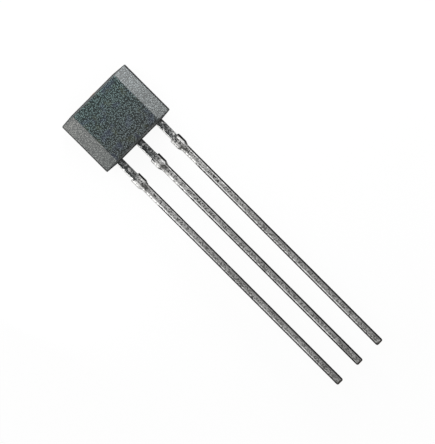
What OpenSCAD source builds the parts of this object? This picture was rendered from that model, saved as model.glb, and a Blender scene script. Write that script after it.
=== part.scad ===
// Three-lead magnetic field sensor in a flat single-in-line package.
// A moulded epoxy body holds a stamped lead frame. The sensor chip is glued to the
// centre lead's paddle and wired to the leads with fine gold wire.
//
// Frame: the origin is the centre of the body's flat back face. +Z points out of the
// front (sensing) face, +X runs across the three leads, and the leads run along -Y.

/* [Body] */
// Width across the side edges, at the mould's parting plane
body_w = 4.05; // [3.9:0.01:4.3]
// Height along the leads, at the parting plane
body_h = 3.04; // [2.9:0.01:3.3]
// Thickness from back face to front face
body_t = 1.57; // [1.5:0.01:1.8]
// Width of each sloping bevel beside the front face
bevel_w = 0.69; // [0.5:0.01:0.9]
// Height of the upright side wall between the parting plane and the bevel
side_land = 0.1; // [0.05:0.01:0.3]
// How far the end walls fall back between the front face and the side edges
end_fall = 0.06; // [0.02:0.005:0.1]
// Mould draft of the walls in front of the parting plane, in degrees
front_draft = 8; // [2:0.5:10]
// Mould draft of the walls behind the parting plane, in degrees
back_draft = 7; // [3:0.5:10]
// Radius on the body's moulded edges
edge_r = 0.05; // [0.02:0.005:0.08]

/* [Ejector mark] */
// Diameter of the ejector pin's mark on the back face
ejector_d = 0.9; // [0.6:0.05:1.1]
// Depth of the ejector pin's mark
ejector_depth = 0.03; // [0.01:0.005:0.06]
// Distance from the body's centre up to the mark
ejector_y = 0.7; // [0.6:0.05:0.75]

/* [Leads] */
// Distance between neighbouring leads
pitch = 1.27; // [1.2:0.01:1.35]
// Width of a lead
lead_w = 0.38; // [0.32:0.01:0.45]
// Thickness of the lead frame
lead_t = 0.38; // [0.32:0.01:0.42]
// Length of a lead outside the body
lead_len = 14.2; // [5:0.1:18]
// Depth of the lead frame's front surface below the front face
lead_depth = 0.79; // [0.75:0.01:0.9]
// Radius along a lead's edges
lead_edge_r = 0.11; // [0.05:0.005:0.14]
// Radius on the corners of a lead's tip
tip_r = 0.09; // [0.04:0.005:0.14]

/* [Dam bar stubs] */
// Distance from the body to the stubs left by the sheared dam bar
stub_drop = 0.97; // [0.6:0.01:1.4]
// Length of a stub along the lead
stub_len = 0.69; // [0.4:0.01:0.9]
// How far a stub stands out from the side of its lead
stub_reach = 0.08; // [0.03:0.005:0.12]
// Length of a stub's sheared shoulder, on the side away from the body
stub_run_out = 0.2; // [0.08:0.01:0.3]
// Width and depth of a stub's pressed edges
stub_press = 0.08; // [0.03:0.005:0.1]
// How far a stub's face falls from the lead's flat middle to its pressed edges
stub_crown = 0.025; // [0.01:0.005:0.04]

/* [Lead frame inside the body] */
// Width of the paddle that carries the chip
paddle_w = 1.6; // [1.4:0.05:1.7]
// Height of the paddle
paddle_h = 1.85; // [1.6:0.05:1.95]
// Distance from the body's lower end to the paddle
paddle_rise = 0.62; // [0.5:0.01:0.7]
// Width of the tie bar between the paddle and the body's upper end
tie_w = 0.3; // [0.2:0.01:0.4]
// How far the sheared tie bar stands out of the body
tie_burr = 0.01; // [0.005:0.005:0.03]
// Slot between the paddle and an outer lead's bonding post
frame_gap = 0.22; // [0.18:0.01:0.26]
// How far a bonding post reaches past the centre line of its lead
post_reach = 0.3; // [0.24:0.01:0.36]
// Height of a bonding post
post_h = 0.7; // [0.5:0.01:0.8]
// Distance from the body's lower end to a bonding post
post_rise = 0.5; // [0.4:0.01:0.6]
// Distance from a post's inner side and upper end to the wire bonded on it
bond_inset = 0.2; // [0.15:0.01:0.25]

/* [Chip] */
// Width of the sensor chip
die_w = 1.1; // [0.9:0.01:1.2]
// Height of the sensor chip
die_h = 1; // [0.9:0.01:1.1]
// Thickness of the sensor chip
die_t = 0.27; // [0.2:0.01:0.3]
// Distance from the body's lower end to the chip's centre, where it senses
die_rise = 1.48; // [1.44:0.01:1.5]
// Thickness of the glue under the chip
glue_t = 0.02; // [0.01:0.005:0.04]
// How far the glue squeezes out around the chip
glue_rim = 0.05; // [0.03:0.005:0.08]

/* [Bond wires] */
// Diameter of the gold wire
wire_d = 0.03; // [0.025:0.001:0.04]
// Diameter of the ball bond on the chip
ball_d = 0.08; // [0.07:0.005:0.1]
// Height of the ball bond
ball_h = 0.03; // [0.02:0.005:0.04]
// Straight rise of the wire above its ball
wire_rise = 0.05; // [0.03:0.005:0.08]
// Radius of the wire's loop, to its centre line
loop_r = 0.06; // [0.05:0.005:0.08]
// Distance from the edges of the chip to the centres of its bond pads
pad_inset = 0.14; // [0.1:0.01:0.18]
// How much taller a stitch bond is than the wire that ends in it
stitch_rise = 0.005; // [0.002:0.001:0.01]

/* [Hidden] */
$fn = 32;

lower_end = -body_h / 2;
upper_end = body_h / 2;

// Levels, from the back face up
frame_front_z = body_t - lead_depth;
frame_z = frame_front_z - lead_t / 2;
parting_z = frame_front_z;
die_z = frame_front_z + glue_t;
die_top_z = die_z + die_t;

// The stitch bonds on the lead frame
stitch_h = wire_d + stitch_rise;
stitch_len = 4 * wire_d;
stitch_w = 2.5 * wire_d;
wire_sides = 12;
loop_steps = 9;

// Where each wire starts on the chip and where it lands on the lead frame
pad_x = die_w / 2 - pad_inset;
pad_y = lower_end + die_rise - die_h / 2 + pad_inset;
post_bond = [paddle_w / 2 + frame_gap + bond_inset, lower_end + post_rise + post_h - bond_inset];
paddle_bond = [0, lower_end + (paddle_rise + die_rise - die_h / 2 - glue_rim) / 2];

overlap = 0.1;
big = 20;

// ---------------------------------------------------------------- shared shapes

// Rounds the outer corners of a flat shape
module eased(r) {
    offset(r = r) offset(delta = -r) children();
}

// Extrudes a profile drawn in X and Z along Y, from y1 to y2
module along_y(y1, y2) {
    translate([0, y2, 0]) rotate([90, 0, 0]) linear_extrude(y2 - y1) children();
}

// Extrudes a profile drawn in Y and Z along X, centred
module along_x(length) {
    rotate([90, 0, 90]) linear_extrude(length, center = true) children();
}

// A flat plate of the lead frame, from a rectangle's two corners, down from its front surface
module frame_plate(low, high) {
    translate([low[0], low[1], frame_front_z]) mirror([0, 0, 1])
        cube([high[0] - low[0], high[1] - low[1], lead_t]);
}

// ---------------------------------------------------------------- moulded body

// The outline seen along the leads: flat back, parting edge, side land, bevel and front face
module end_profile() {
    side = body_w / 2;
    back = side - parting_z * tan(back_draft);
    land = side - side_land * tan(front_draft);
    front = side - bevel_w;
    polygon([
        [-back, 0], [back, 0], [side, parting_z], [land, parting_z + side_land],
        [front, body_t], [-front, body_t], [-land, parting_z + side_land], [-side, parting_z]
    ]);
}

// All that lies below the upper end wall, whose outline on the parting plane falls back
// beside the front face. The wall leans by an angle about that plane.
module below_upper_wall(lean, inset) {
    shoulder = body_w / 2 - bevel_w;
    past = shoulder + 2 * bevel_w;
    translate([0, upper_end, parting_z]) rotate([lean, 0, 0])
        linear_extrude(big, center = true) offset(delta = -inset) polygon([
            [-shoulder, 0], [-past, -2 * end_fall], [-past, -big],
            [past, -big], [past, -2 * end_fall], [shoulder, 0]
        ]);
}

// The body with sharp edges, and with every face moved in by inset
module drafted_form(inset) {
    hull() intersection() {
        along_y(-big, big) offset(delta = -inset) end_profile();
        intersection_for(lean = [front_draft, -back_draft])
            below_upper_wall(lean, inset);
        mirror([0, 1, 0]) intersection_for(lean = [front_draft, -back_draft])
            below_upper_wall(lean, inset);
    }
}

// A ball whose poles and equator lie exactly on its radius
module bead(r) {
    hull() rotate_extrude($fn = 24) intersection() {
        circle(r, $fn = 24);
        translate([0, -r]) square([r, 2 * r]);
    }
}

// The moulding before the lead frame is set into it: drafted, bevelled, with round edges
// and the ejector pin's mark
module body_shell() {
    difference() {
        minkowski() {
            drafted_form(edge_r);
            bead(edge_r);
        }
        translate([0, ejector_y, -overlap])
            cylinder(h = ejector_depth + overlap, d = ejector_d);
    }
}

module moulded_body() {
    color([0.2, 0.22, 0.22]) difference() {
        body_shell();
        supply_lead();
        ground_lead();
        output_lead();
        sensor_chip();
        chip_glue();
        supply_bond_wire();
        ground_bond_wire();
        output_bond_wire();
    }
}

// ---------------------------------------------------------------- lead frame

// A lead's rounded square section, with its tip rounded in plan and from the side
module lead_bar(top_y) {
    tip_y = lower_end - lead_len;
    bar_len = top_y - tip_y;
    intersection() {
        along_y(tip_y, top_y) translate([0, frame_z])
            offset(r = lead_edge_r)
                square([lead_w - 2 * lead_edge_r, lead_t - 2 * lead_edge_r], center = true);
        translate([-lead_w / 2, tip_y, 0]) linear_extrude(big)
            bar_outline(lead_w, bar_len);
        along_x(big) translate([tip_y, frame_z + lead_t / 2]) rotate(-90)
            bar_outline(lead_t, bar_len);
    }
}

// A bar's outline with round corners at its foot, standing on the X axis
module bar_outline(width, length) {
    eased(tip_r) square([width, length + 2 * tip_r]);
}

// One level of a stub: square near the body, run out to the lead's side at its foot
module stub_layer(height, half, foot_half) {
    top = lower_end - stub_drop;
    foot = top - stub_len;
    translate([0, 0, frame_z]) linear_extrude(height, center = true) polygon([
        [-half, top], [half, top], [half, foot + stub_run_out],
        [foot_half, foot], [-foot_half, foot], [-half, foot + stub_run_out]
    ]);
}

// What the sheared dam bar leaves on both sides of a lead, crowned and with pressed edges
module dam_bar_stub() {
    side = lead_w / 2;
    hull() {
        stub_layer(lead_t - 2 * (stub_crown + stub_press), side + stub_reach, side);
        stub_layer(lead_t - 2 * stub_crown, side + stub_reach - stub_press, side - stub_press);
        stub_layer(lead_t, side - lead_edge_r, side - lead_edge_r);
    }
}

// An outer lead, side = -1 or 1: its bar ends in a bonding post beside the paddle
module outer_lead(side) {
    post_low = lower_end + post_rise;
    post_inner = paddle_w / 2 + frame_gap;
    color([0.72, 0.72, 0.7]) union() {
        translate([side * pitch, 0, 0]) {
            lead_bar(post_low + post_h / 2);
            dam_bar_stub();
        }
        mirror([side < 0 ? 1 : 0, 0, 0])
            frame_plate([post_inner, post_low], [pitch + post_reach, post_low + post_h]);
    }
}

module supply_lead() {
    outer_lead(-1);
}

module output_lead() {
    outer_lead(1);
}

// The centre lead: its bar widens into the paddle, which a tie bar holds to the upper end
module ground_lead() {
    paddle_low = lower_end + paddle_rise;
    paddle_high = paddle_low + paddle_h;
    color([0.72, 0.72, 0.7]) union() {
        lead_bar(paddle_low + lead_w);
        dam_bar_stub();
        frame_plate([-paddle_w / 2, paddle_low], [paddle_w / 2, paddle_high]);
        frame_plate([-tie_w / 2, paddle_high - overlap], [tie_w / 2, upper_end + tie_burr]);
    }
}

// ---------------------------------------------------------------- chip

module sensor_chip() {
    color([0.35, 0.37, 0.42])
        translate([-die_w / 2, lower_end + die_rise - die_h / 2, die_z])
            cube([die_w, die_h, die_t]);
}

module chip_glue() {
    w = die_w + 2 * glue_rim;
    h = die_h + 2 * glue_rim;
    color([0.75, 0.73, 0.68])
        translate([-w / 2, lower_end + die_rise - h / 2, frame_front_z]) cube([w, h, glue_t]);
}

// ---------------------------------------------------------------- bond wires

// Straight run of a wire that reaches far sideways and slopes down by angle a
function run_length(far, a) = (far - loop_r * (1 + sin(a))) / cos(a);

// Rise above its ball that such a wire needs to land drop below the ball's top
function rise_for(far, drop, a) = run_length(far, a) * sin(a) - loop_r * cos(a) - drop;

// Slope at which the wire has its set rise, found by halving the interval
function slope_for(far, drop, low = 0, high = 89, steps = 24) =
    let (mid = (low + high) / 2)
    steps == 0 ? mid
    : rise_for(far, drop, mid) < wire_rise ? slope_for(far, drop, mid, high, steps - 1)
    : slope_for(far, drop, low, mid, steps - 1);

// A wire's centre line in its own upright plane, from inside its ball to its stitch:
// each entry is [distance along, height, direction of travel above level]
function wire_line(far, slope) = concat(
    [[0, ball_h / 2, 90]],
    [for (i = [0:loop_steps]) let (a = 90 - i * (90 + slope) / loop_steps)
        [loop_r * (1 - sin(a)), ball_h + wire_rise + loop_r * cos(a), a]],
    [[far, ball_h + wire_rise + loop_r * cos(slope) - run_length(far, slope) * sin(slope),
        -slope]]
);

// A round wire swept along such a line
module swept_wire(line) {
    rings = len(line);
    points = [for (at = line, k = [0:wire_sides - 1])
        let (a = 360 * k / wire_sides, out = wire_d / 2 * cos(a))
        [at[0] - out * sin(at[2]), wire_d / 2 * sin(a), at[1] + out * cos(at[2])]];
    walls = [for (i = [0:rings - 2], k = [0:wire_sides - 1])
        let (a = i * wire_sides + k, b = i * wire_sides + (k + 1) % wire_sides)
        [a, b, b + wire_sides, a + wire_sides]];
    ends = [
        [for (k = [wire_sides - 1:-1:0]) k],
        [for (k = [0:wire_sides - 1]) (rings - 1) * wire_sides + k]
    ];
    polyhedron(points, concat(walls, ends));
}

// The ball bond: a ball squeezed flat by the bonding tool
module ball_bond() {
    intersection() {
        translate([0, 0, ball_h / 2]) sphere(d = ball_d);
        translate([0, 0, ball_h / 2]) cube([ball_d, ball_d, ball_h], center = true);
    }
}

// One wire from a pad on the chip to a point on the lead frame: up from its ball,
// over a round loop, and straight down into its stitch bond
module bond_wire(pad, foot) {
    reach = foot - pad;
    far = norm(reach);
    drop = die_top_z + ball_h - frame_front_z - stitch_h / 2;
    color([0.9, 0.72, 0.3]) translate([pad[0], pad[1], die_top_z])
        rotate(atan2(reach[1], reach[0])) union() {
            ball_bond();
            swept_wire(wire_line(far, slope_for(far, drop)));
            translate([far - stitch_len / 2, -stitch_w / 2, frame_front_z - die_top_z])
                cube([stitch_len, stitch_w, stitch_h]);
        }
}

module supply_bond_wire() {
    bond_wire([-pad_x, pad_y], [-post_bond[0], post_bond[1]]);
}

module ground_bond_wire() {
    bond_wire([0, pad_y], paddle_bond);
}

module output_bond_wire() {
    bond_wire([pad_x, pad_y], post_bond);
}

// ---------------------------------------------------------------- nodes

moulded_body();
supply_lead();
ground_lead();
output_lead();
sensor_chip();
chip_glue();
supply_bond_wire();
ground_bond_wire();
output_bond_wire();
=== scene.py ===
"""Looks of a three-lead magnetic field sensor: a spark-textured epoxy moulding on tinned leads.

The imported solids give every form. Each outer piece is a finely divided copy of its solid,
worked in millimetres and given its surface by a Geometry Nodes tree. Colours are linear.
"""

import math

import bmesh
import bpy
from mathutils import Matrix, Vector


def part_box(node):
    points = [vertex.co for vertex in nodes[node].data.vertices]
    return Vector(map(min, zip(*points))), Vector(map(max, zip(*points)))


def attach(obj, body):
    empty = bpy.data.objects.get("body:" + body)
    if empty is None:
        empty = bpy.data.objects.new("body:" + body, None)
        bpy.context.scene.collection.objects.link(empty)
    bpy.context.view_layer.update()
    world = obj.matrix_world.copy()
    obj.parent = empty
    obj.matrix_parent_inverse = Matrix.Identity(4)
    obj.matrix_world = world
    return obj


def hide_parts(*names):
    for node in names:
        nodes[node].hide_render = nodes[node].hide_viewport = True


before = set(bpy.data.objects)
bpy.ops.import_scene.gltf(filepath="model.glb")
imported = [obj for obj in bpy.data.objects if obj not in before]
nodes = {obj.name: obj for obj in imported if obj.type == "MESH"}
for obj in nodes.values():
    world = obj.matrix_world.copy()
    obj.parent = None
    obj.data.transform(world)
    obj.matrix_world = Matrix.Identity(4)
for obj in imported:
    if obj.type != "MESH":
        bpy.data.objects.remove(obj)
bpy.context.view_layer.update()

MM = 0.001
LEADS = ("supply_lead", "ground_lead", "output_lead")
WIRES = ("supply_bond_wire", "ground_bond_wire", "output_bond_wire")

# ------------------------------------------------------------------ sizes, in millimetres

body_low, body_high = ([c / MM for c in corner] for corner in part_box("moulded_body"))
lead_low, lead_high = ([c / MM for c in corner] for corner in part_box("supply_lead"))
HALF_W = body_high[0]
UPPER_END = body_high[1]
LOWER_END = body_low[1]
TIP_Y = lead_low[1]
LEAD_TOP_Z = lead_high[2]
PARTING_Z = LEAD_TOP_Z

# The moulding: width of a bevel, and how far the ends fall back across it
BEVEL_W = 0.69
END_FALL = 0.06
# The leads: distance between their middles, and width
PITCH = 1.27
LEAD_W = 0.38
# The stubs that the dam bar left: distance from the body, and length
STUB_DROP = 0.97
STUB_LEN = 0.69
STUB_FOOT = LOWER_END - STUB_DROP - STUB_LEN
# The ejector pin's round mark in the back face
MARK_D = 0.9
MARK_DEPTH = 0.03
MARK_Y = 0.7

# Sides of the small faces that the pieces are divided into
BODY_STEP = 0.03
LEAD_STEP = 0.022
# Distance between the specks of the mould's texture, and width of the tin's crystals
SPECK = 0.064
CRYSTAL = 0.043

# ------------------------------------------------------------------ camera

PICTURE_PX = (435, 444)
PX_PER_MM = 21.99
AIM_MM = (-0.07, -6.6, 0.6)
CAMERA_DISTANCE_MM = 300
CAMERA_TURN = math.radians(-45)
SENSOR_MM = 36
NEAREST_M = 0.01
FARTHEST_M = 10


def add_camera():
    """A long lens straight above, turned so that the leads run to the lower right."""
    height_mm = max(PICTURE_PX) / PX_PER_MM
    lens = bpy.data.cameras.new("view")
    lens.sensor_width = SENSOR_MM
    lens.lens = SENSOR_MM * CAMERA_DISTANCE_MM / height_mm
    lens.clip_start = NEAREST_M
    lens.clip_end = FARTHEST_M
    camera = bpy.data.objects.new("view", lens)
    x, y, z = AIM_MM
    camera.location = Vector((x, y, z + CAMERA_DISTANCE_MM)) * MM
    camera.rotation_euler = (0, 0, CAMERA_TURN)
    bpy.context.collection.objects.link(camera)
    bpy.context.scene.camera = camera


add_camera()

# ------------------------------------------------------------------ node helpers


def link(tree, source, target):
    tree.links.new(source, target)


def add(tree, kind, **values):
    """A node with the values of its unlinked inputs, by name."""
    node = tree.nodes.new(kind)
    for name, value in values.items():
        node.inputs[name.replace("_", " ")].default_value = value
    return node


def math_node(tree, operation, a, b=None, clamp=False):
    """One sum on sockets or numbers, and the socket with its result."""
    node = tree.nodes.new("ShaderNodeMath")
    node.operation = operation
    node.use_clamp = clamp
    for slot, value in enumerate((a, b)):
        if isinstance(value, bpy.types.NodeSocket):
            link(tree, value, node.inputs[slot])
        elif value is not None:
            node.inputs[slot].default_value = value
    return node.outputs[0]


def times(tree, first, *others):
    """The product of sockets or numbers."""
    for other in others:
        first = math_node(tree, "MULTIPLY", first, other)
    return first


def larger(tree, first, *others):
    """The largest of some sockets."""
    for other in others:
        first = math_node(tree, "MAXIMUM", first, other)
    return first


def inverse(tree, mask):
    """1 where the mask is 0, and 0 where it is 1."""
    return math_node(tree, "SUBTRACT", 1.0, mask)


def ramp(tree, value, low, high, out_low=0.0, out_high=1.0, smooth=True):
    """The value taken from low..high to out_low..out_high; low may be the larger number."""
    node = tree.nodes.new("ShaderNodeMapRange")
    node.interpolation_type = "SMOOTHSTEP" if smooth else "LINEAR"
    link(tree, value, node.inputs["Value"])
    numbers = {"From Min": low, "From Max": high, "To Min": out_low, "To Max": out_high}
    for name, number in numbers.items():
        node.inputs[name].default_value = number
    return node.outputs[0]


def band(tree, value, one_side, other_side):
    """High between two slopes, each given by where it is 0 and where it is 1."""
    return times(tree, ramp(tree, value, *one_side), ramp(tree, value, *other_side))


def split(tree, place):
    """The three numbers of a place or a direction."""
    node = tree.nodes.new("ShaderNodeSeparateXYZ")
    link(tree, place, node.inputs[0])
    return node.outputs


# ------------------------------------------------------------------ materials


def new_material(name, **shader_values):
    """A material with its shader, and the piece's own coordinates in millimetres."""
    material = bpy.data.materials.new(name)
    material.use_nodes = True
    tree = material.node_tree
    tree.nodes.clear()
    out = tree.nodes.new("ShaderNodeOutputMaterial")
    shader = add(tree, "ShaderNodeBsdfPrincipled", **shader_values)
    link(tree, shader.outputs[0], out.inputs["Surface"])
    place = tree.nodes.new("ShaderNodeTexCoord").outputs["Object"]
    return material, tree, shader, scaled(tree, place, (1 / MM,) * 3)


def noise(tree, place, size_mm, detail, stretch=None):
    """Noise whose lumps are about size_mm across, from 0 to 1."""
    if stretch:
        place = scaled(tree, place, stretch)
    node = add(tree, "ShaderNodeTexNoise", Scale=1 / size_mm, Detail=detail)
    link(tree, place, node.inputs["Vector"])
    return node.outputs["Fac"]


def scaled(tree, place, scale):
    """The place scaled along its axes, which draws a pattern out where the scale is small."""
    node = add(tree, "ShaderNodeMapping", Scale=scale)
    link(tree, place, node.inputs["Vector"])
    return node.outputs[0]


def grains(tree, place, size_mm, stretch):
    """A random value from 0 to 1 for each small grain about size_mm across."""
    cells = add(tree, "ShaderNodeTexVoronoi", Scale=1 / size_mm)
    link(tree, scaled(tree, place, stretch), cells.inputs["Vector"])
    return split(tree, cells.outputs["Color"])[0]


# How far from a speck's middle it has ended, and within what it is full, as parts of the spacing
SPECK_END, SPECK_TOP = 0.56, 0.3


def specks(tree, place, spacing_mm):
    """High at the middle of each speck and low between specks about spacing_mm apart."""
    cells = add(tree, "ShaderNodeTexVoronoi", Scale=1 / spacing_mm)
    link(tree, place, cells.inputs["Vector"])
    return ramp(tree, cells.outputs["Distance"], SPECK_END, SPECK_TOP)


def mix_colours(tree, factor, first, second):
    """A colour between two, each given as a socket or as numbers."""
    node = tree.nodes.new("ShaderNodeMix")
    node.data_type = "RGBA"
    link(tree, factor, node.inputs["Factor"])
    for value, slot in ((first, 6), (second, 7)):
        if isinstance(value, bpy.types.NodeSocket):
            link(tree, value, node.inputs[slot])
        else:
            node.inputs[slot].default_value = (*value, 1)
    return node.outputs[2]


def wash(tree, under, over, mask, strength=1.0):
    """The colour under, with over laid on it where the mask is high."""
    if strength < 1:
        mask = times(tree, mask, strength)
    return mix_colours(tree, mask, under, over)


def bump(tree, height, distance_mm):
    """The normal of a surface whose height differs by up to that distance."""
    node = add(tree, "ShaderNodeBump", Strength=1.0, Distance=distance_mm * MM)
    link(tree, height, node.inputs["Height"])
    return node.outputs[0]


def surface_normal(tree):
    """The way the surface faces, as three numbers."""
    return split(tree, tree.nodes.new("ShaderNodeNewGeometry").outputs["Normal"])


# Widths of the dark outline, a line of painted shade, on the left and right sides, and at the
# lower and upper ends, its softness, and its strength at the upper end
SIDE_RIMS = 0.045, 0.07
END_RIMS = 0.045, 0.06
RIM_SOFT = 0.015
UPPER_RIM = 0.35
# Half the width over which the looks change at the middle of the body
MIDDLE = 0.1


def body_places(tree, place):
    """Masks on the moulding, by name."""
    x, y, z = split(tree, place)
    across = math_node(tree, "ABSOLUTE", x)
    shoulder = HALF_W - BEVEL_W
    beside = ramp(tree, across, shoulder - 0.02, shoulder + 0.01)
    above_parting = ramp(tree, z, PARTING_Z - 0.01, PARTING_Z + 0.01)
    right = ramp(tree, x, -MIDDLE, MIDDLE)

    # The outline, a black line of painted shade, runs along the sides and the ends, down to the
    # parting line
    side_rim = ramp(tree, right, 0, 1, *SIDE_RIMS)
    sides = math_node(tree, "ADD", across, side_rim)
    sides = ramp(tree, sides, HALF_W - RIM_SOFT, HALF_W + RIM_SOFT)
    fall = ramp(tree, across, shoulder, HALF_W, 0, END_FALL, smooth=False)
    end_rim = ramp(tree, y, -MIDDLE, MIDDLE, *END_RIMS)
    ends = math_node(tree, "ADD", math_node(tree, "ABSOLUTE", y), fall)
    ends = math_node(tree, "ADD", ends, end_rim)
    ends = ramp(tree, ends, UPPER_END - RIM_SOFT, UPPER_END + RIM_SOFT)
    ends = times(tree, ends, ramp(tree, y, -MIDDLE, MIDDLE, 1, UPPER_RIM))
    from_parting_up = ramp(tree, z, PARTING_Z - 0.05, PARTING_Z - 0.02)

    # Steep end walls and the walls below the parting line are painted darker than the faces:
    # painted shade
    _, lengthwise, upright = surface_normal(tree)
    end_walls = ramp(tree, math_node(tree, "ABSOLUTE", lengthwise), 0.6, 0.8)
    low_walls = times(tree, ramp(tree, math_node(tree, "ABSOLUTE", upright), 0.65, 0.4),
                      ramp(tree, z, PARTING_Z - 0.02, PARTING_Z - 0.05))

    from_mark = tree.nodes.new("ShaderNodeVectorMath")
    from_mark.operation = "DISTANCE"
    link(tree, place, from_mark.inputs[0])
    from_mark.inputs[1].default_value = (0, MARK_Y, MARK_DEPTH)
    return {
        "bevels": times(tree, beside, above_parting),
        "right": right,
        "lower": ramp(tree, y, UPPER_END, LOWER_END, smooth=False),
        "outline": times(tree, larger(tree, sides, ends), from_parting_up),
        "walls": larger(tree, end_walls, low_walls),
        "mark": ramp(tree, from_mark.outputs["Value"], MARK_D / 2, MARK_D / 2 - 0.02),
    }


# Colours at the body's upper end and at its lower end; the body is painted lighter toward its
# upper end: painted light
FRONT_DARK = (0.013, 0.023, 0.022), (0.014, 0.016, 0.015)
FRONT_LIGHT = (0.122, 0.19, 0.186), (0.11, 0.13, 0.137)
# The bevels are the same epoxy as the front, painted paler and differently on the left and right:
# painted light
BEVEL_DARK = (0.1, 0.105, 0.105), (0.062, 0.066, 0.066)
LEFT_BEVEL = (0.315, 0.32, 0.303), (0.19, 0.205, 0.197)
RIGHT_BEVEL = (0.265, 0.292, 0.3), (0.2, 0.218, 0.218)
# Colours between the specks and on them, for the walls and for the outline: both painted shade
WALL_SHADE = (0.026, 0.029, 0.029), (0.066, 0.073, 0.073)
OUTLINE_SHADE = (0.004, 0.005, 0.005), (0.013, 0.014, 0.014)
# Tints that drift over the front face, and the ejector mark's sheen
BLUE = (0.05, 0.06, 0.11)
OLIVE = (0.06, 0.07, 0.035)
MARK_SHEEN = (0.03, 0.033, 0.034)


def epoxy_material():
    """Dark filled epoxy: dark specks on the front face, bevels painted pale as painted light,
    walls painted dark and a black matt line along the outline as painted shade, and the whole body
    painted lighter toward its upper end as painted light."""
    material, tree, shader, place = new_material("mould_epoxy", Specular_IOR_Level=0.3)
    at = body_places(tree, place)
    spark = specks(tree, place, SPECK)
    soft_spark = ramp(tree, spark, 0, 1, 0.06, 0.94, smooth=False)
    cloud = noise(tree, place, 0.5, detail=2)
    drift = noise(tree, place, 0.4, detail=1, stretch=(1.3, 0.9, 1))

    # Painted light: from the upper end's colours to the lower end's
    def down_body(colours):
        return mix_colours(tree, at["lower"], *colours)

    front = mix_colours(tree, spark, down_body(FRONT_DARK), down_body(FRONT_LIGHT))
    front = wash(tree, front, BLUE, ramp(tree, cloud, 0.5, 0.68, 0, 0.3))
    front = wash(tree, front, OLIVE, ramp(tree, drift, 0.55, 0.72, 0, 0.3))
    # Painted light: pale bevels, left and right apart
    bevel_light = mix_colours(tree, at["right"], down_body(LEFT_BEVEL), down_body(RIGHT_BEVEL))
    bevel = mix_colours(tree, soft_spark, down_body(BEVEL_DARK), bevel_light)
    tone = mix_colours(tree, at["bevels"], front, bevel)
    # Painted shade on the walls
    tone = wash(tree, tone, mix_colours(tree, spark, *WALL_SHADE), at["walls"])
    # Painted shade: the black outline
    tone = wash(tree, tone, mix_colours(tree, spark, *OUTLINE_SHADE), at["outline"])
    tone = wash(tree, tone, MARK_SHEEN, at["mark"], 0.6)
    link(tree, tone, shader.inputs["Base Color"])

    matt = ramp(tree, spark, 0, 1, 0.7, 0.5)
    matt = math_node(tree, "SUBTRACT", matt, times(tree, at["mark"], 0.25))
    link(tree, math_node(tree, "ADD", matt, at["outline"], clamp=True), shader.inputs["Roughness"])
    link(tree, bump(tree, spark, 0.012), shader.inputs["Normal"])
    return material


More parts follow.
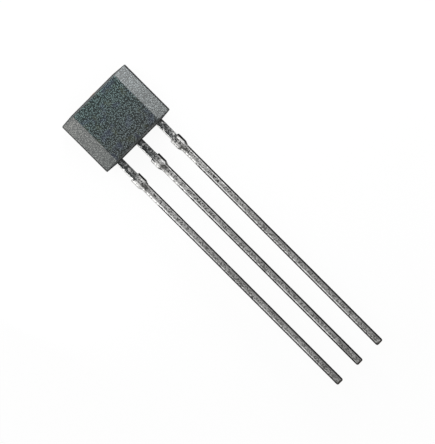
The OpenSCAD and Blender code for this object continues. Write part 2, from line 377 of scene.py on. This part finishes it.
def lead_places(tree, place):
    """Masks on a lead, by name."""
    x, y, z = split(tree, place)
    lead_number = math_node(tree, "ROUND", math_node(tree, "DIVIDE", x, PITCH))
    across = math_node(tree, "SUBTRACT", x, times(tree, lead_number, PITCH))
    from_middle = math_node(tree, "ABSOLUTE", across)
    # How far the surface leans: -1 on the left side, 0 on top and 1 on the right side
    lean = surface_normal(tree)[0]
    # Distances below the stub's foot, above the tip and below the lead's top
    down = math_node(tree, "SUBTRACT", STUB_FOOT, y)
    up = math_node(tree, "SUBTRACT", y, TIP_Y)
    deep = math_node(tree, "SUBTRACT", LEAD_TOP_Z, z)

    upper_edge = ramp(tree, deep, 0.17, 0.11)
    arris = ramp(tree, deep, 0.12, 0.075)
    tie_end = ramp(tree, y, 0.5, 1.0)
    stub = band(tree, down, (-0.1, -0.28), (-STUB_LEN - 0.02, -STUB_LEN + 0.02))
    pressed = times(tree, stub, ramp(tree, math_node(tree, "ABSOLUTE", lean), 0.5, 0.62))
    below_rim = ramp(tree, down, 0.7, 1.1)
    beside_rim = inverse(tree, below_rim)
    off_foot = larger(tree, ramp(tree, down, 0.15, 0, 1, 0.4),
                      ramp(tree, down, -0.2, -0.32, 0.4, 1))
    # Slopes on the right, and on the left away from the stub, that take the painted edge shade
    edge_lean = larger(tree, ramp(tree, lean, 0.18, 0.4),
                  times(tree, ramp(tree, lean, -0.42, -0.62), below_rim))
    # The painted highlight stripe along the left edge fades below the stub, comes back, and ends
    # above the tip
    near_stub = ramp(tree, down, 5.4, 3.0, 0.15, 1)
    near_tip = times(tree, ramp(tree, down, 6.6, 7.8, 0, 0.8), ramp(tree, up, 0.6, 2.3))
    return {
        "edge_shade": times(tree, edge_lean, arris, off_foot),
        "burnished_highlight": band(tree, lean, (0.03, 0.1), (0.42, 0.3)),
        "highlight_stripe": times(tree, band(tree, lean, (-0.44, -0.34), (-0.03, -0.1)),
                        larger(tree, near_stub, near_tip)),
        "beside_stripe": band(tree, across, (-0.085, -0.07), (0, -0.03)),
        "middle": band(tree, across, (-0.06, 0.01), (0.1, 0.05)),
        "right_side": ramp(tree, across, 0.03, 0.13),
        "rightward": ramp(tree, across, -LEAD_W / 4, LEAD_W / 2, smooth=False),
        "bare_rim": times(tree, ramp(tree, lean, -0.5, -0.68), upper_edge, beside_rim),
        "off_rim": ramp(tree, lean, -0.68, -0.5, 0.45, 1),
        "left_below_stub": times(tree, beside_rim, ramp(tree, lean, -0.26, -0.42),
                           ramp(tree, down, -0.05, 0.1)),
        "stub_left": times(tree, stub, ramp(tree, across, 0, -LEAD_W / 4)),
        "stub_right_edge": times(tree, pressed, upper_edge, ramp(tree, lean, 0, 0.1)),
        "scraped": times(tree, band(tree, down, (0.3, 0.05), (-0.3, -0.15)),
                         ramp(tree, across, LEAD_W / 2, 0, 0.3, 1)),
        "root": ramp(tree, down, 0.3 - STUB_LEN, -0.15 - STUB_LEN),
        "near_body": ramp(tree, down, 5.0, 0.5),
        "shade_toward_tip": ramp(tree, down, 1.0, STUB_FOOT - TIP_Y - 3.0, smooth=False),
        "tip_edge_shade": times(tree, ramp(tree, up, 3.6, 0.2), ramp(tree, from_middle, 0.03, 0.11)),
        "tip_rim_shade": times(tree, ramp(tree, up, 0.11, 0.07), ramp(tree, deep, 0.1, 0.05)),
        "cut": larger(tree, ramp(tree, up, 0.02, 0.008), tie_end),
        "tie_end": tie_end,
        "upper_edge": upper_edge,
    }


# Reflected colours of the tin: its dark and bright crystals, its dull patches, its even film, its
# scrapes, its bare rim and its cut copper, with the painted highlights and painted shades; the
# dull colours also serve as painted shade
CRYSTALS = (0.03, 0.03, 0.029), (1.0, 0.995, 0.98)
DULL_AND_SHADE = (0.075, 0.073, 0.069), (0.44, 0.43, 0.412)
FLOW = (0.36, 0.357, 0.345)
FILM = (0.55, 0.545, 0.53)
SHADED = (0.05, 0.05, 0.05)
BURNISH_HIGHLIGHT = (0.97, 0.97, 0.96)
HIGHLIGHT_STRIPE = (1.0, 1.0, 0.99)
EDGE_SHADE = (0.01, 0.01, 0.01)
BARE_RIM = (0.58, 0.58, 0.57)
SCRAPED = (0.1, 0.097, 0.09)
STUB_RIGHT_SHADE = (0.008, 0.008, 0.008)
COPPER = (0.4, 0.23, 0.15), (0.62, 0.4, 0.27)
TIP_RIM_SHADE = (0.02, 0.016, 0.013)
# Resin between its grains and on them, each on the left and on the right
RESIN_DARK = (0.006, 0.008, 0.009), (0.06, 0.062, 0.062)
RESIN_LIGHT = (0.13, 0.14, 0.142), (0.42, 0.425, 0.42)


def tin_material():
    """Matte tin on copper alloy, burnished smoother on its slightly right-leaning top and smeared
    with resin at the root, with painted light in its colour: painted highlights on that top and in
    a stripe along its left edge, lighter on its left and darker on its right near the body, and
    painted shade on its upper edges, on the stub's left half and steep right facets, on its right
    side toward the tip, on the tip's edges and along the tip's top edge. Where it was cut, the
    copper is bare."""
    material, tree, shader, place = new_material("matte_tin")
    at = lead_places(tree, place)
    crystals = grains(tree, place, CRYSTAL, stretch=(1, 0.75, 1))
    flow = noise(tree, place, 0.07, detail=1, stretch=(1, 0.4, 1))
    smear = noise(tree, place, 0.16, detail=2, stretch=(1, 0.7, 1))
    wear = noise(tree, place, 1.4, detail=1, stretch=(0.3, 1, 0.3))

    # Near the body each lead is painted lighter on its left and darker on its right: painted light
    # and shade
    painted_left_light = times(tree, at["near_body"], ramp(tree, at["rightward"], 0, 1, 0.2, -0.12))
    shining = math_node(tree, "ADD", crystals, painted_left_light)
    shining = math_node(tree, "ADD", shining, ramp(tree, at["middle"], 0, 1, 0, 0.05))
    tone = mix_colours(tree, ramp(tree, shining, 0.34, 0.68), *CRYSTALS)
    tone = wash(tree, tone, FLOW, ramp(tree, flow, 0.42, 0.66, 0, 0.28))
    tone = wash(tree, tone, FILM, ramp(tree, at["near_body"], 0, 1, 0.3, 0))

    # Random tarnish patches away from the body, and painted shade on the right side growing toward
    # the tip and on the tip's edges
    patches = times(tree, ramp(tree, wear, 0.4, 0.65, 0, 0.3), ramp(tree, at["near_body"], 0, 1, 1, 0))
    tarnish_and_shade = math_node(tree, "ADD", times(tree, at["shade_toward_tip"], at["right_side"]), patches)
    tarnish_and_shade = math_node(tree, "MAXIMUM", tarnish_and_shade, at["tip_edge_shade"], clamp=True)
    dull_and_shade = mix_colours(tree, ramp(tree, crystals, 0.3, 0.7), *DULL_AND_SHADE)
    tone = wash(tree, tone, dull_and_shade, tarnish_and_shade)

    # Painted shade beside the painted highlight stripe
    tone = wash(tree, tone, SHADED, at["beside_stripe"], 0.15)
    # Painted highlight on slightly right-leaning slopes, which are also burnished smoother
    tone = wash(tree, tone, BURNISH_HIGHLIGHT, at["burnished_highlight"], 0.5)
    # Painted highlight: a bright stripe on the left edge's slope
    tone = wash(tree, tone, HIGHLIGHT_STRIPE, at["highlight_stripe"], 0.72)
    # Painted shade on the stub's left half
    tone = wash(tree, tone, dull_and_shade, at["stub_left"], 0.5)
    # Painted shade: near-black along the upper edge roundings
    tone = wash(tree, tone, EDGE_SHADE, at["edge_shade"])
    tone = wash(tree, tone, BARE_RIM, at["bare_rim"])
    # Darker on the left slopes just below the stub
    tone = wash(tree, tone, dull_and_shade, at["left_below_stub"], 0.5)
    ragged_scrape = times(tree, at["scraped"], ramp(tree, smear, 0.4, 0.6, 0.4, 0.95))
    tone = wash(tree, tone, SCRAPED, times(tree, ragged_scrape, at["off_rim"]))
    # Painted shade: near-black on the stub's steep right facets
    tone = wash(tree, tone, STUB_RIGHT_SHADE, at["stub_right_edge"])
    tone = wash(tree, tone, mix_colours(tree, crystals, *COPPER), at["cut"])
    # Painted shade: a dark, non-metal band along the tip's top edge
    tone = wash(tree, tone, TIP_RIM_SHADE, at["tip_rim_shade"])

    ragged = math_node(tree, "ADD", smear, times(tree, at["root"], 0.34))
    clean = larger(tree, at["bare_rim"], at["tie_end"])
    resin = times(tree, ramp(tree, ragged, 0.64, 0.76), ramp(tree, clean, 0, 0.5, 1, 0),
                  ramp(tree, at["upper_edge"], 0, 1, 0.3, 1))
    resin_tone = mix_colours(tree, ramp(tree, crystals, 0.5, 0.85),
                             mix_colours(tree, at["rightward"], *RESIN_DARK),
                             mix_colours(tree, at["rightward"], *RESIN_LIGHT))
    link(tree, wash(tree, tone, resin_tone, resin), shader.inputs["Base Color"])

    resin_or_tip_shade = larger(tree, resin, at["tip_rim_shade"])
    link(tree, inverse(tree, resin_or_tip_shade), shader.inputs["Metallic"])
    dull = ramp(tree, crystals, 0, 1, 0.34, 0.2)
    dull = math_node(tree, "SUBTRACT", dull, times(tree, at["burnished_highlight"], 0.06))
    dull = math_node(tree, "ADD", dull, times(tree, at["edge_shade"], 0.25))
    dull = math_node(tree, "ADD", dull, times(tree, resin_or_tip_shade, 0.5), clamp=True)
    link(tree, dull, shader.inputs["Roughness"])
    link(tree, bump(tree, flow, 0.006), shader.inputs["Normal"])
    return material


def silicon_material():
    """The chip: polished dark silicon with pale metal tracks on a fine grid."""
    material, tree, shader, place = new_material("silicon", Roughness=0.15)
    grid = add(tree, "ShaderNodeTexBrick", Scale=9.0, Mortar_Size=0.03,
               Brick_Width=0.7, Row_Height=0.35)
    link(tree, place, grid.inputs["Vector"])
    tone = mix_colours(tree, grid.outputs["Fac"], (0.11, 0.12, 0.17), (0.4, 0.38, 0.3))
    link(tree, tone, shader.inputs["Base Color"])
    return material


def glue_material():
    """Silver-filled glue, dull and grainy."""
    material, tree, shader, place = new_material("silver_glue", Metallic=0.6, Roughness=0.55)
    flakes = noise(tree, place, 0.03, detail=2)
    tone = mix_colours(tree, ramp(tree, flakes, 0.35, 0.65), (0.35, 0.34, 0.32), (0.7, 0.69, 0.66))
    link(tree, tone, shader.inputs["Base Color"])
    link(tree, bump(tree, flakes, 0.004), shader.inputs["Normal"])
    return material


def gold_material():
    """Drawn gold wire."""
    material, tree, shader, place = new_material("gold_wire", Metallic=1.0)
    drawn = noise(tree, place, 0.02, detail=1)
    tone = mix_colours(tree, drawn, (0.9, 0.6, 0.18), (1.0, 0.76, 0.33))
    link(tree, tone, shader.inputs["Base Color"])
    link(tree, ramp(tree, drawn, 0.3, 0.7, 0.18, 0.3), shader.inputs["Roughness"])
    return material


EPOXY = epoxy_material()
TIN = tin_material()
SILICON = silicon_material()
GLUE = glue_material()
GOLD = gold_material()

# ------------------------------------------------------------------ mesh helpers

# Corners of a solid that are closer than this are one
SAME_PLACE = 1e-5
# The noise that leaves the surface where it is. Most of it is lower, so a piece stays inside
# its solid.
LEVEL_NOISE = 0.7
NOISE_DETAIL = 1.5


def keep_hull(work):
    """Leaves only the convex outside of a mesh."""
    found = bmesh.ops.convex_hull(work, input=work.verts)
    inside = set(found["geom_interior"]) | set(found["geom_unused"])
    inside = [v for v in inside if isinstance(v, bmesh.types.BMVert)]
    bmesh.ops.delete(work, geom=inside, context="VERTS")
    spare = [f for f in work.faces if f not in set(found["geom"])]
    bmesh.ops.delete(work, geom=spare, context="FACES_ONLY")
    loose = [v for v in work.verts if not v.link_faces]
    bmesh.ops.delete(work, geom=loose, context="VERTS")
    bmesh.ops.recalc_face_normals(work, faces=work.faces)


def solid_copy(node_name, hull=False):
    """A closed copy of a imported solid, in millimetres; with hull, of its outside alone."""
    work = bmesh.new()
    work.from_mesh(nodes[node_name].data)
    bmesh.ops.scale(work, vec=(1 / MM,) * 3, verts=work.verts)
    bmesh.ops.remove_doubles(work, verts=work.verts, dist=SAME_PLACE)
    if hull:
        keep_hull(work)
    mesh = bpy.data.meshes.new(node_name + "_work")
    work.to_mesh(mesh)
    work.free()
    piece = bpy.data.objects.new(node_name + "_work", mesh)
    bpy.context.collection.objects.link(piece)
    return piece


def apply_modifiers(piece):
    """Makes the modifiers' result the piece's own plain mesh."""
    graph = bpy.context.evaluated_depsgraph_get()
    graph.update()
    mesh = bpy.data.meshes.new_from_object(piece.evaluated_get(graph))
    piece.modifiers.clear()
    piece.data = mesh


def divide_evenly(piece, step_mm):
    """Rebuilds the surface from even small faces."""
    remesh = piece.modifiers.new("even", "REMESH")
    remesh.mode = "VOXEL"
    remesh.voxel_size = step_mm
    remesh.use_smooth_shade = True
    apply_modifiers(piece)


def cut_away(piece, cutter):
    """Cuts the cutter's form out of the piece, and drops the cutter."""
    boolean = piece.modifiers.new("cut", "BOOLEAN")
    boolean.operation = "DIFFERENCE"
    boolean.solver = "MANIFOLD"
    boolean.object = cutter
    apply_modifiers(piece)
    bpy.data.objects.remove(cutter)


def to_triangles(piece):
    """Splits every face into well-shaped triangles. A plain split, made later, folds the
    thinnest faces that a cut leaves onto their neighbours."""
    work = bmesh.new()
    work.from_mesh(piece.data)
    bmesh.ops.triangulate(work, faces=work.faces, quad_method="BEAUTY", ngon_method="BEAUTY")
    work.to_mesh(piece.data)
    work.free()


def surface_tree(name, sizes):
    """A tree that lifts the surface by layers of noise: sizes gives each layer's default
    lump size and depth in millimetres."""
    tree = bpy.data.node_groups.new(name, "GeometryNodeTree")

    def socket(title, kind, in_out="INPUT"):
        return tree.interface.new_socket(title, in_out=in_out, socket_type="NodeSocket" + kind)

    socket("Geometry", "Geometry")
    for layer, (size, depth) in sizes.items():
        socket(layer + " Size", "Float").default_value = size
        socket(layer + " Depth", "Float").default_value = depth
    socket("Seed", "Float")
    socket("Material", "Material")
    socket("Geometry", "Geometry", "OUTPUT")
    given = tree.nodes.new("NodeGroupInput").outputs
    place = tree.nodes.new("GeometryNodeInputPosition").outputs[0]
    normal = tree.nodes.new("GeometryNodeInputNormal").outputs[0]
    lift = 0.0
    for layer in sizes:
        lumps = tree.nodes.new("ShaderNodeTexNoise")
        lumps.noise_dimensions = "4D"
        lumps.inputs["Detail"].default_value = NOISE_DETAIL
        link(tree, place, lumps.inputs["Vector"])
        link(tree, given["Seed"], lumps.inputs["W"])
        scale = math_node(tree, "DIVIDE", 1.0, given[layer + " Size"])
        link(tree, scale, lumps.inputs["Scale"])
        centred = math_node(tree, "SUBTRACT", lumps.outputs["Fac"], LEVEL_NOISE)
        layer_lift = times(tree, centred, given[layer + " Depth"])
        lift = math_node(tree, "ADD", layer_lift, lift)
    offset = tree.nodes.new("ShaderNodeVectorMath")
    offset.operation = "SCALE"
    link(tree, normal, offset.inputs[0])
    link(tree, lift, offset.inputs["Scale"])
    moved = tree.nodes.new("GeometryNodeSetPosition")
    link(tree, given["Geometry"], moved.inputs["Geometry"])
    link(tree, offset.outputs[0], moved.inputs["Offset"])
    real = tree.nodes.new("GeometryNodeRealizeInstances")
    link(tree, moved.outputs[0], real.inputs[0])
    painted = tree.nodes.new("GeometryNodeSetMaterial")
    link(tree, real.outputs[0], painted.inputs["Geometry"])
    link(tree, given["Material"], painted.inputs["Material"])
    out = tree.nodes.new("NodeGroupOutput")
    link(tree, painted.outputs[0], out.inputs["Geometry"])
    return tree


def run_tree(piece, tree, **values):
    """Gives the piece the tree's surface; values are inputs of the tree, by name."""
    modifier = piece.modifiers.new(tree.name, "NODES")
    modifier.node_group = tree
    for item in tree.interface.items_tree:
        if item.in_out == "INPUT" and item.name in values:
            modifier[item.identifier] = values[item.name]
    apply_modifiers(piece)


def finish_piece(piece, name, node_name, material):
    """Takes the piece from millimetres to the frame's metres, and puts it in its node's place."""
    piece.name = name
    piece.data.name = name
    piece.data.transform(Matrix.Scale(MM, 4))
    piece.data.materials.clear()
    piece.data.materials.append(material)
    piece.data.shade_smooth()
    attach(piece, "root")
    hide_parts(node_name)


# ------------------------------------------------------------------ pieces

# Lump sizes and depths of the moulding's spark texture and slight sinking, and of the tin's
# runs and crystals
SPARK_LAYERS = {"Grain": (0.08, 0.006), "Sink": (1.6, 0.012)}
SPARK_SEED = 3.0
TIN_LAYERS = {"Run": (0.35, 0.01), "Crystal": (0.11, 0.003)}


def mark_cutter(rim=96):
    """A short cylinder that sinks the ejector pin's mark into the back face."""
    work = bmesh.new()
    bmesh.ops.create_cone(work, cap_ends=True, segments=rim, radius1=MARK_D / 2,
                          radius2=MARK_D / 2, depth=2 * MARK_DEPTH)
    bmesh.ops.translate(work, vec=(0, MARK_Y, 0), verts=work.verts)
    mesh = bpy.data.meshes.new("cutter")
    work.to_mesh(mesh)
    work.free()
    cutter = bpy.data.objects.new("cutter", mesh)
    bpy.context.collection.objects.link(cutter)
    return cutter


def make_moulding():
    """The body: its solid's outside, evenly divided and grained, around the lead frame."""
    body = solid_copy("moulded_body", hull=True)
    divide_evenly(body, BODY_STEP)
    texture = surface_tree("spark_texture", SPARK_LAYERS)
    run_tree(body, texture, Seed=SPARK_SEED, Material=EPOXY)
    cut_away(body, mark_cutter())
    for lead in LEADS:
        cut_away(body, solid_copy(lead))
    to_triangles(body)
    finish_piece(body, "moulding", "moulded_body", EPOXY)


def make_leads():
    """The three leads, with the tin coat's soft lumps."""
    coat = surface_tree("tin_coat", TIN_LAYERS)
    for number, name in enumerate(LEADS):
        lead = solid_copy(name)
        divide_evenly(lead, LEAD_STEP)
        run_tree(lead, coat, Seed=float(number), Material=TIN)
        finish_piece(lead, "tinned_" + name, name, TIN)


def dress_inner_pieces():
    """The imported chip, glue and wires, which stay as they are, in their own materials."""
    inner = {"sensor_chip": SILICON, "chip_glue": GLUE, **dict.fromkeys(WIRES, GOLD)}
    for name, material in inner.items():
        data = nodes[name].data
        data.materials.clear()
        data.materials.append(material)


make_moulding()
make_leads()
dress_inner_pieces()

# ------------------------------------------------------------------ stage and light

FLOOR_SIZE_MM = 600
FLOOR_COLOUR = (0.95, 0.95, 0.95)
# How much of the floor's own colour gives way to plain white where it is seen
FLOOR_GLOW = 0.93
# Strength of the sky, of its dim middle overhead, and of its dim sides
SKY = 1.2
ZENITH = 0.36
DARK_SIDE = 0.25
# Where it turns dim overhead, to the right and to the left, as parts of a unit direction
OVERHEAD = 0.88, 0.985
RIGHTWARD = 0.12, 0.4
LEFTWARD = -0.55, -0.75
# Soft lamps: name, place and size in millimetres, radiance, and the place that they face
LAMPS = (
    ("right_key", (26, 18, 8), (20, 14), 17.0, (0, 0, 0.8)),
    ("left_key", (-22, 23, 8), (20, 14), 4.0, (0, 0, 0.8)),
    ("left_edge", (-9, -2.5, 4), (5, 5), 3.2, (0, 0, 0.8)),
    ("right_top", (7.5, -1, 13.5), (10, 8), 1.0, (0, -3, 0.8)),
)


def seen_directly(tree):
    """1 for what the camera sees, also in a reflection or through a clear piece."""
    path = tree.nodes.new("ShaderNodeLightPath")
    rays = (path.outputs[f"Is {kind} Ray"] for kind in ("Camera", "Glossy", "Transmission"))
    return larger(tree, *rays)


def floor_material():
    """White card that glows where it is seen, which leaves the shadow soft and pale."""
    material = bpy.data.materials.new("floor_white")
    material.use_nodes = True
    tree = material.node_tree
    tree.nodes.clear()
    card = add(tree, "ShaderNodeBsdfDiffuse", Color=(*FLOOR_COLOUR, 1))
    glow = add(tree, "ShaderNodeEmission", Strength=1.0)
    both = tree.nodes.new("ShaderNodeMixShader")
    link(tree, times(tree, seen_directly(tree), FLOOR_GLOW), both.inputs[0])
    link(tree, card.outputs[0], both.inputs[1])
    link(tree, glow.outputs[0], both.inputs[2])
    out = tree.nodes.new("ShaderNodeOutputMaterial")
    link(tree, both.outputs[0], out.inputs["Surface"])
    return material


def add_floor():
    half = FLOOR_SIZE_MM * MM / 2
    corners = [(-half, -half, 0), (half, -half, 0), (half, half, 0), (-half, half, 0)]
    mesh = bpy.data.meshes.new("floor")
    mesh.from_pydata(corners, [], [(0, 1, 2, 3)])
    floor = bpy.data.objects.new("floor", mesh)
    bpy.context.collection.objects.link(floor)
    mesh.materials.append(floor_material())


def add_soft_lamp(name, place_mm, size_mm, radiance, aim_mm):
    """A rectangular soft lamp at a place, facing its aim."""
    away = Vector(place_mm) - Vector(aim_mm)
    light = bpy.data.lights.new(name, "AREA")
    light.shape = "RECTANGLE"
    light.size, light.size_y = (s * MM for s in size_mm)
    light.energy = radiance * math.pi * light.size * light.size_y
    lamp = bpy.data.objects.new(name, light)
    lamp.location = Vector(place_mm) * MM
    lamp.rotation_euler = away.to_track_quat("Z", "Y").to_euler()
    lamp.visible_camera = False
    bpy.context.collection.objects.link(lamp)


def add_sky():
    """A soft box overhead with a dim middle, and dim low down on both sides of the leads."""
    world = bpy.data.worlds.new("sky")
    bpy.context.scene.world = world
    world.use_nodes = True
    tree = world.node_tree
    way = tree.nodes.new("ShaderNodeTexCoord").outputs["Generated"]
    x, _, z = split(tree, way)
    height = ramp(tree, z, *OVERHEAD, SKY, ZENITH)
    right = ramp(tree, x, *RIGHTWARD, 1, DARK_SIDE)
    left = ramp(tree, x, *LEFTWARD, 1, DARK_SIDE)
    strength = times(tree, height, right, left)
    background = tree.nodes["Background"]
    background.inputs["Color"].default_value = (1, 1, 1, 1)
    link(tree, strength, background.inputs["Strength"])


def add_lights():
    add_sky()
    for lamp in LAMPS:
        add_soft_lamp(*lamp)


add_floor()
add_lights()
bpy.context.scene.view_settings.view_transform = "Standard"
